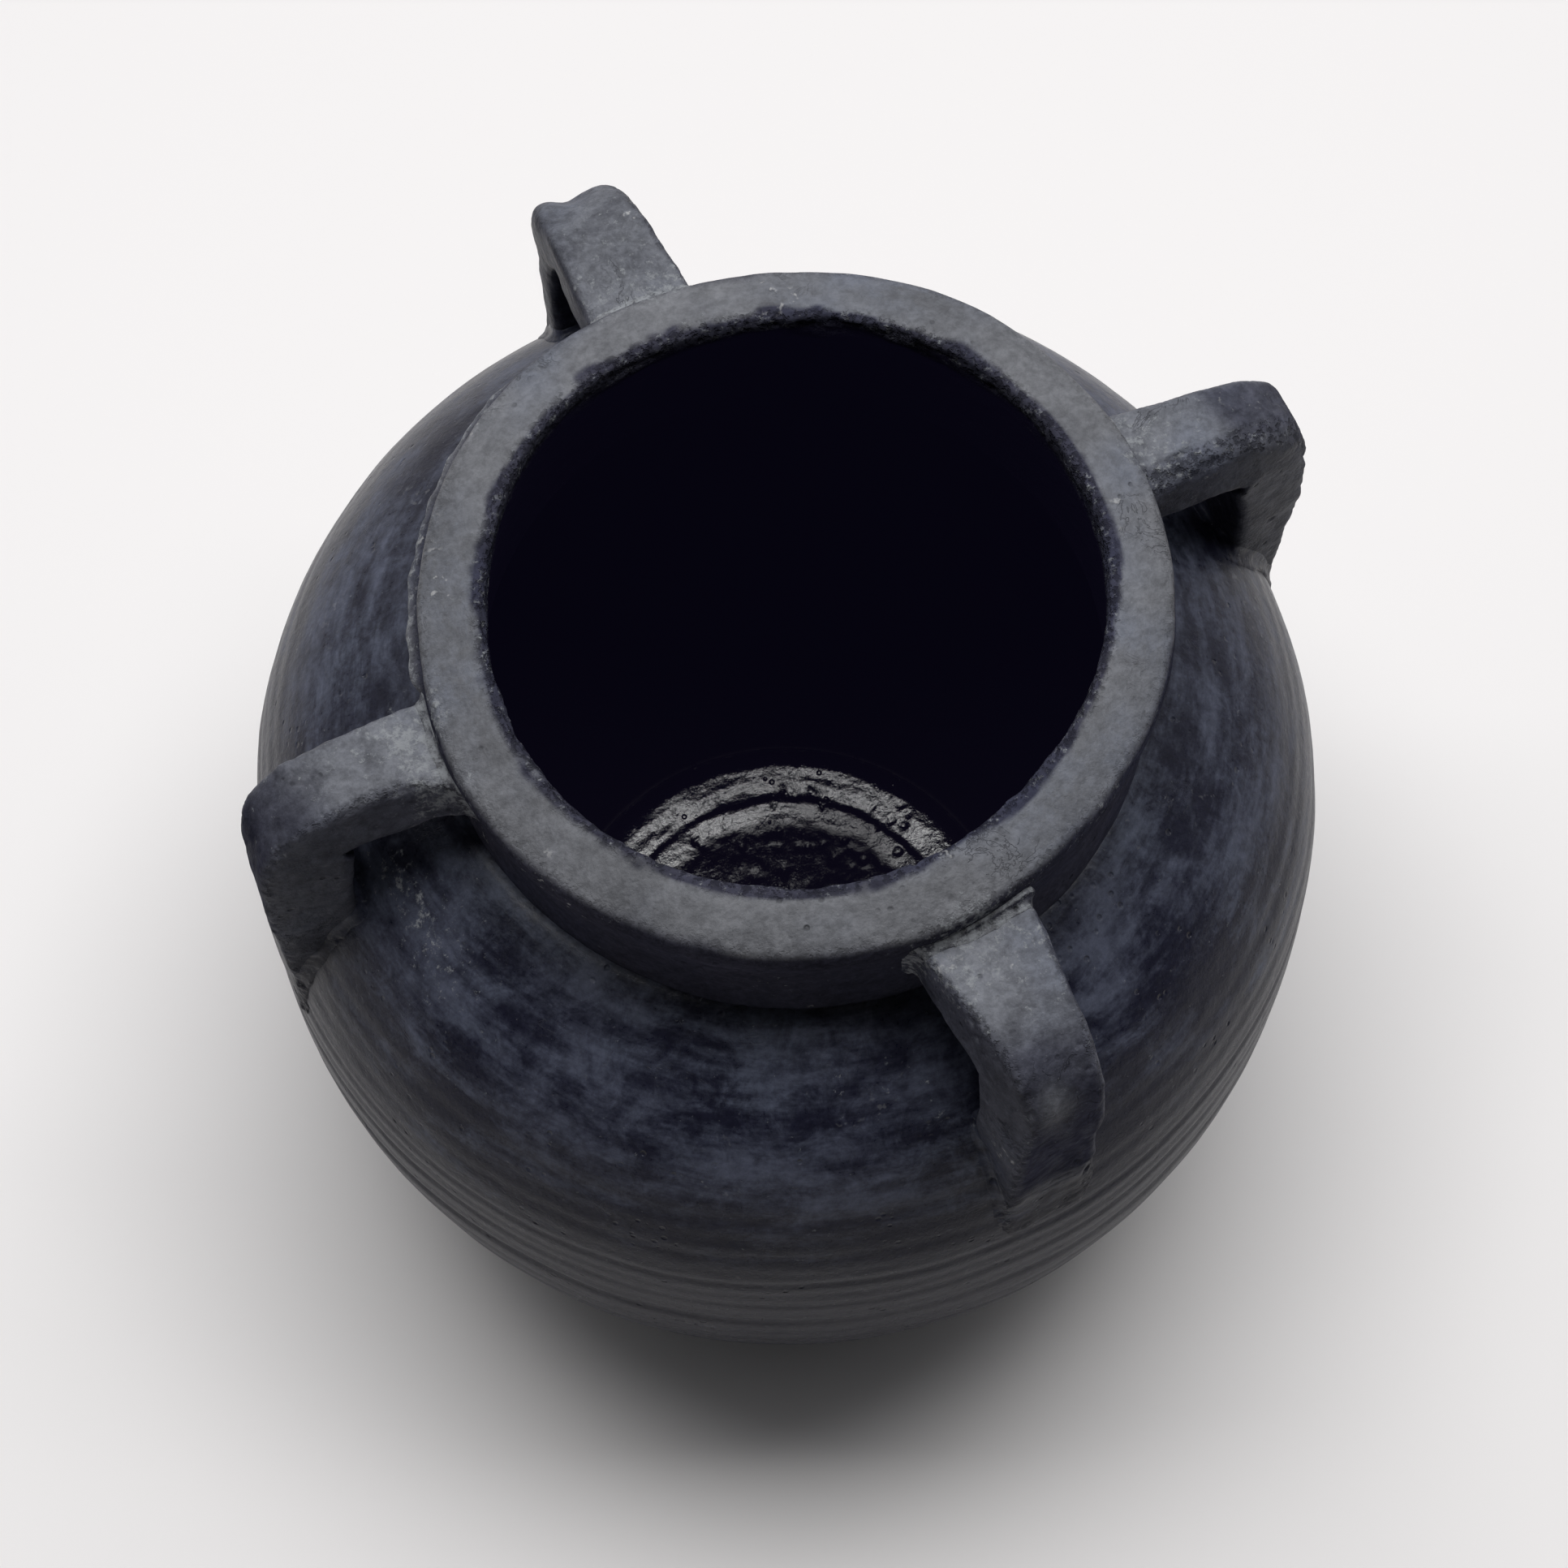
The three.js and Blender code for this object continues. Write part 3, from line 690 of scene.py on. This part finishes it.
class Nodes:
    """Short ways to make and join shader nodes."""

    def __init__(self, name):
        self.material = bpy.data.materials.new(name)
        self.material.use_nodes = True
        self.tree = self.material.node_tree
        self.bsdf = self.tree.nodes["Principled BSDF"]

    def add(self, kind, inputs=None, **settings):
        made = self.tree.nodes.new(kind)
        for key, value in settings.items():
            setattr(made, key, value)
        for key, value in (inputs or {}).items():
            self.feed(value, made.inputs[key])
        return made

    def feed(self, value, socket):
        if isinstance(value, bpy.types.NodeSocket):
            self.tree.links.new(value, socket)
        elif isinstance(value, tuple) and len(value) == 3 and socket.type == "RGBA":
            socket.default_value = (*value, 1)
        else:
            socket.default_value = value

    def math(self, operation, a, b=0.0, clamp=False):
        made = self.add("ShaderNodeMath", {0: a, 1: b}, operation=operation, use_clamp=clamp)
        return made.outputs[0]

    def vector(self, operation, a, b=(0, 0, 0)):
        return self.add("ShaderNodeVectorMath", {0: a, 1: b}, operation=operation).outputs[0]

    def ramp(self, value, low, high, start=0.0, end=1.0):
        inputs = {"Value": value, "From Min": low, "From Max": high, "To Min": start, "To Max": end}
        return self.add("ShaderNodeMapRange", inputs, interpolation_type="SMOOTHSTEP").outputs["Result"]

    def blend(self, share, a, b):
        """A colour between a and b."""
        made = self.add("ShaderNodeMix", data_type="RGBA")
        sockets = [x for x in made.inputs if x.enabled]
        self.feed(share, sockets[0])
        self.feed(a, sockets[1])
        self.feed(b, sockets[2])
        return [x for x in made.outputs if x.enabled][0]

    def noise(self, place, scale, detail=3.0, roughness=0.5, w=None, distortion=0.0):
        inputs = {"Vector": place, "Scale": scale, "Detail": detail}
        inputs.update({"Roughness": roughness, "Distortion": distortion})
        if w is None:
            return self.add("ShaderNodeTexNoise", inputs).outputs[0]
        made = self.add("ShaderNodeTexNoise", noise_dimensions="4D")
        for key, value in {**inputs, "W": w}.items():
            self.feed(value, made.inputs[key])
        return made.outputs[0]

    def grains(self, place, scale):
        return self.add("ShaderNodeTexVoronoi", {"Vector": place, "Scale": scale}).outputs["Distance"]

    def attribute(self, name):
        return self.add("ShaderNodeAttribute", attribute_name=name).outputs["Fac"]


CRUST = (0.215, 0.225, 0.240)
# Bluish tint that painted shade multiplies the clay's colour by.
SHADE_TINT = (0.30, 0.295, 0.385)
# Bluish grey of some pale patches: partly the clay's own tone, partly painted sheen.
BLUE_GREY_AND_SHEEN = (0.088, 0.102, 0.142)
SPECK = (0.42, 0.42, 0.42)
HOLE = (0.008, 0.008, 0.011)
INSIDE = (0.0045, 0.004, 0.0075)
INSIDE_PAINTED_GLOW = (0.0018, 0.0014, 0.0045)   # painted glow: emission standing in for the faint light left deep inside the pot


def clay(name, ground, patch, gloss, shine, share, grain, strokes, mottle, cracked):
    """Smoke-blackened clay.

    ground, patch: colours of the black ground and of the paler places, partly own grey, partly painted sheen;
    gloss: their roughnesses; shine: how strongly both reflect.
    share: how much of the surface is pale, 0 to 1. grain: depth of the fine bumps in millimetres.
    strokes, mottle, cracked: how much burnishing strokes, small blotches and fine cracks show.
    The mesh says where the clay is crusty ("crust"), darkened by painted shade ("painted_shade"), broken
    into dark crumbs ("pebbled"), on the pot's inner side ("inside") and shiny from use ("glaze").
    """
    k = Nodes(name)
    here = k.add("ShaderNodeTexCoord").outputs["Object"]
    xyz = k.add("ShaderNodeSeparateXYZ", {0: here})
    level = k.add("ShaderNodeCombineXYZ", {0: xyz.outputs[0], 1: xyz.outputs[1]}).outputs[0]
    radius = k.add("ShaderNodeVectorMath", {0: level}, operation="LENGTH").outputs["Value"]
    heading = k.vector("NORMALIZE", level)
    up = k.add("ShaderNodeCombineXYZ", {2: xyz.outputs[2]}).outputs[0]

    def stroked(reach, scale, detail, rough):
        """Noise drawn out round the pot; the smaller the reach, the longer the strokes."""
        scaled = k.add("ShaderNodeVectorMath", {0: heading, "Scale": reach}, operation="SCALE").outputs[0]
        return k.noise(k.vector("ADD", scaled, up), scale, detail, rough, w=radius)

    def centred(value, amount):
        return k.math("MULTIPLY", k.math("SUBTRACT", value, 0.5), amount)

    def total(*values):
        found = values[0]
        for value in values[1:]:
            found = k.math("ADD", found, value)
        return found

    torn = k.attribute("crust")
    fine = k.noise(here, 1000.0, 3.0, 0.7)
    mixed = total(
        centred(k.noise(here, 30.0, 3.0, 0.55, distortion=0.6), 0.45),
        centred(stroked(0.040, 80.0, 3.0, 0.6), 0.2 + 0.55 * strokes),
        centred(k.noise(here, 135.0, 6.0, 0.68, distortion=1.4), 0.62),
        centred(stroked(0.016, 260.0, 4.0, 0.7), 0.85 * strokes),
        centred(fine, 0.25),
        k.math("MULTIPLY", torn, 0.2),
        # Fewer pale patches below 134 mm: the lower belly is painted darker, painted shade where it turns
        # down from the light.
        k.ramp(xyz.outputs[2], 0.088, 0.134, -0.30, 0.0))
    middle = 0.16 * (0.5 - share)
    # Pale patches, some of them bluish: partly the clay's own grey, partly painted sheen.
    patches = k.ramp(mixed, middle - 0.21, middle + 0.30)
    colour = k.blend(patches, ground, patch)
    bluish = k.ramp(k.noise(here, 38.0, 2.0, 0.5), 0.45, 0.68)
    colour = k.blend(k.math("MULTIPLY", bluish, k.math("MULTIPLY", patches, 0.55)), colour, BLUE_GREY_AND_SHEEN)

    blotches = k.noise(here, 560.0, 4.0, 0.75, distortion=0.3)
    scale = k.math("ADD", 1.0, centred(k.ramp(blotches, 0.3, 0.7), 2 * mottle))
    # Painted shade: where the mesh marks shade, the colour is multiplied down towards the bluish shade tint;
    # it also dulls the shine below.
    painted_shade = k.attribute("painted_shade")
    colour = k.add("ShaderNodeVectorMath", {0: colour, "Scale": scale}, operation="SCALE").outputs[0]
    colour = k.vector("MULTIPLY", colour, k.blend(painted_shade, (1.0, 1.0, 1.0), SHADE_TINT))

    # Sparse dusty crust where the clay is torn or smeared.
    dust = k.ramp(k.math("ADD", k.noise(here, 640.0, 4.0, 0.75), k.math("MULTIPLY", torn, 0.25)), 0.65, 0.84)
    colour = k.blend(dust, colour, CRUST)

    # Pin holes, fine cracks and a few pale specks.
    hole = k.math("SUBTRACT", 1.0, k.ramp(k.grains(here, 420.0), 0.10, 0.26))
    holes = k.math("MULTIPLY", hole, k.ramp(k.noise(here, 110.0, 2.0, 0.5), 0.56, 0.66))
    ridge = k.math("ABSOLUTE", k.math("SUBTRACT", k.noise(here, 170.0, 4.0, 0.62, distortion=1.0), 0.5))
    crack = k.math("MULTIPLY", k.math("SUBTRACT", 1.0, k.ramp(ridge, 0.002, 0.016)),
                   k.ramp(k.noise(here, 60.0, 2.0, 0.5), 0.54, 0.64))
    crack = k.math("MULTIPLY", crack, cracked)
    dark = k.math("MAXIMUM", k.math("MULTIPLY", holes, 0.2 + 0.6 * cracked), k.math("MULTIPLY", crack, 0.65))
    pebbles = k.math("MULTIPLY", k.ramp(k.noise(here, 820.0, 3.0, 0.7), 0.47, 0.60), k.attribute("pebbled"))
    dark = k.math("MAXIMUM", dark, k.math("MULTIPLY", pebbles, 0.85))
    colour = k.blend(dark, colour, HOLE)
    speck = k.ramp(k.noise(here, 620.0, 2.0, 0.6), 0.60, 0.70)
    specks = k.math("MULTIPLY", speck, k.ramp(k.noise(here, 70.0, 2.0, 0.6), 0.62, 0.69))
    colour = k.blend(k.math("MULTIPLY", specks, cracked), colour, SPECK)

    inside = k.attribute("inside")
    colour = k.blend(inside, colour, INSIDE)
    k.feed(colour, k.bsdf.inputs["Base Color"])

    rough = k.ramp(patches, 0.0, 1.0, *gloss)
    rough = total(rough, centred(fine, 0.2), k.math("MULTIPLY", dust, 0.3))
    glaze = k.attribute("glaze")
    glossed = k.ramp(glaze, 0.0, 0.15)
    inner_rough = k.ramp(glossed, 0.0, 1.0, 0.5, 0.12)
    rough = k.math("ADD", k.math("MULTIPLY", rough, k.math("SUBTRACT", 1.0, inside)),
                   k.math("MULTIPLY", inner_rough, inside), clamp=True)
    k.feed(rough, k.bsdf.inputs["Roughness"])
    shining = k.ramp(xyz.outputs[2], 0.102, 0.136, 0.26 * shine, shine)
    for dulled in (painted_shade, inside):
        shining = k.math("MULTIPLY", shining, k.math("SUBTRACT", 1.0, dulled))
    k.feed(k.math("MAXIMUM", shining, k.math("MULTIPLY", glaze, 0.8)), k.bsdf.inputs["Specular IOR Level"])
    # Painted glow: the inside emits a faint light of its own, standing in for light that reaches deep into
    # the pot.
    k.bsdf.inputs["Emission Strength"].default_value = 1.0
    k.feed(k.blend(inside, (0.0, 0.0, 0.0), INSIDE_PAINTED_GLOW), k.bsdf.inputs["Emission Color"])

    height = total(
        k.math("MULTIPLY", k.noise(here, 620.0, 5.0, 0.68), grain),
        k.math("MULTIPLY", k.noise(here, 210.0, 3.0, 0.6), 1.6 * grain),
        k.math("MULTIPLY", stroked(0.02, 420.0, 3.0, 0.6), 0.2 * grain * strokes),
        k.math("MULTIPLY", k.math("MULTIPLY", fine, glossed), 0.075),
        k.math("MULTIPLY", holes, -0.25),
        k.math("MULTIPLY", pebbles, -0.3),
        k.math("MULTIPLY", crack, -0.2),
        k.math("MULTIPLY", dust, 0.07))
    bump = k.add("ShaderNodeBump", {"Height": height, "Strength": 1.0, "Distance": MM})
    k.feed(bump.outputs["Normal"], k.bsdf.inputs["Normal"])
    return k.material


burnished = clay(
    "burnished_clay", (0.0098, 0.0102, 0.0200), (0.065, 0.072, 0.103), (0.30, 0.42), 0.18,
    share=0.42, grain=0.10, strokes=1.0, mottle=0.2, cracked=0.1)
rim_clay = clay(
    "rim_clay", (0.083, 0.085, 0.094), (0.146, 0.149, 0.162), (0.45, 0.55), 0.12,
    share=0.6, grain=0.26, strokes=0.4, mottle=0.18, cracked=0.5)
handle_clay = clay(
    "handle_clay", (0.053, 0.055, 0.066), (0.150, 0.156, 0.176), (0.35, 0.48), 0.05,
    share=0.6, grain=0.28, strokes=0.0, mottle=0.22, cracked=0.6)
luting_clay = clay(
    "luting_clay", (0.048, 0.049, 0.056), (0.12, 0.122, 0.132), (0.4, 0.5), 0.05,
    share=0.6, grain=0.32, strokes=0.0, mottle=0.4, cracked=0.6)


def dress(piece, material, slot, *nodes):
    piece.data.materials.append(material)
    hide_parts(*nodes)


# ------------------------------------------------------------------ the pot

dress(make_body(), burnished, "burnished_clay", "body")
dress(make_collar(), rim_clay, "rim_clay", "neck_collar")
for side, form in HANDLES.items():
    strap, at_rim, at_shoulder = make_handle(side, form)
    dress(strap, handle_clay, "handle_clay", f"handle_{side}")
    dress(at_rim, luting_clay, "luting_clay", f"luting_{side}_rim")
    dress(at_shoulder, burnished, "burnished_clay", f"luting_{side}_shoulder")

# ------------------------------------------------------------------ floor, lights and camera

CAMERA_ELEVATION = math.radians(67.4)
CAMERA_AZIMUTH = math.radians(-25.0)
CAMERA_DISTANCE = 720.0
CAMERA_RAISE = 3.93
CAMERA_SLIDE = -0.29
CAMERA_LENS = 95.78

right = Vector((math.cos(CAMERA_AZIMUTH), math.sin(CAMERA_AZIMUTH), 0))
towards = Vector((-math.sin(CAMERA_AZIMUTH), math.cos(CAMERA_AZIMUTH), 0))
back = -towards * math.cos(CAMERA_ELEVATION) + Vector((0, 0, math.sin(CAMERA_ELEVATION)))
upward = towards * math.sin(CAMERA_ELEVATION) + Vector((0, 0, math.cos(CAMERA_ELEVATION)))
eye = Vector((0, 0, BELLY_HEIGHT)) + back * CAMERA_DISTANCE + upward * CAMERA_RAISE + right * CAMERA_SLIDE

camera = bpy.data.objects.new("camera", bpy.data.cameras.new("camera"))
camera.data.lens = CAMERA_LENS
camera.data.sensor_width = 36
camera.data.clip_start = 0.05
camera.data.clip_end = 20
camera.location = eye * MM
camera.rotation_mode = "QUATERNION"
camera.rotation_quaternion = Matrix((right, upward, back)).transposed().to_quaternion()
bpy.context.scene.collection.objects.link(camera)
bpy.context.scene.camera = camera
bpy.context.scene.view_settings.view_transform = "Standard"


FLOOR_HALF = 8.0   # metres
PAPER = (0.83, 0.81, 0.805)
ROOM_LIGHT = (0.97, 0.98, 1.0)


def make_floor():
    mesh = bpy.data.meshes.new("floor")
    corners = [(x * FLOOR_HALF, y * FLOOR_HALF, 0) for x, y in ((-1, -1), (1, -1), (1, 1), (-1, 1))]
    mesh.from_pydata(corners, [], [(0, 1, 2, 3)])
    floor = bpy.data.objects.new("floor", mesh)
    bpy.context.scene.collection.objects.link(floor)
    paper = Nodes("paper")
    paper.bsdf.inputs["Base Color"].default_value = (*PAPER, 1)
    paper.bsdf.inputs["Roughness"].default_value = 0.9
    paper.bsdf.inputs["Specular IOR Level"].default_value = 0.1
    mesh.materials.append(paper.material)


def area_light(name, place, target, size, power):
    """A soft panel; place and target are in metres: to the camera's right, away from it and up."""
    lamp = bpy.data.lights.new(name, "AREA")
    lamp.shape = "RECTANGLE"
    lamp.size, lamp.size_y = size
    lamp.energy = power
    panel = bpy.data.objects.new(name, lamp)
    where = right * place[0] + towards * place[1] + Vector((0, 0, place[2]))
    aim = right * target[0] + towards * target[1] + Vector((0, 0, target[2]))
    panel.location = where
    panel.rotation_mode = "QUATERNION"
    panel.rotation_quaternion = (aim - where).to_track_quat("-Z", "Y")
    bpy.context.scene.collection.objects.link(panel)


def make_room(dark, bright):
    """A dim room, bright behind the pot and dark on the camera's side."""
    world = bpy.data.worlds.new("room")
    world.use_nodes = True
    tree = world.node_tree
    coords = tree.nodes.new("ShaderNodeTexCoord")
    along = tree.nodes.new("ShaderNodeVectorMath")
    along.operation = "DOT_PRODUCT"
    along.inputs[1].default_value = tuple(towards)
    tree.links.new(coords.outputs["Generated"], along.inputs[0])
    fade = tree.nodes.new("ShaderNodeMapRange")
    fade.interpolation_type = "SMOOTHSTEP"
    fade.inputs["From Min"].default_value = -0.45
    fade.inputs["From Max"].default_value = 0.9
    fade.inputs["To Min"].default_value = dark
    fade.inputs["To Max"].default_value = bright
    tree.links.new(along.outputs["Value"], fade.inputs["Value"])
    background = tree.nodes["Background"]
    background.inputs["Color"].default_value = (*ROOM_LIGHT, 1)
    tree.links.new(fade.outputs["Result"], background.inputs["Strength"])
    bpy.context.scene.world = world


make_floor()
area_light("key", (0.0, 0.2, 1.35), (0, 0, 0.05), (1.3, 0.5), 16.5)
make_room(0.0, 0.95)
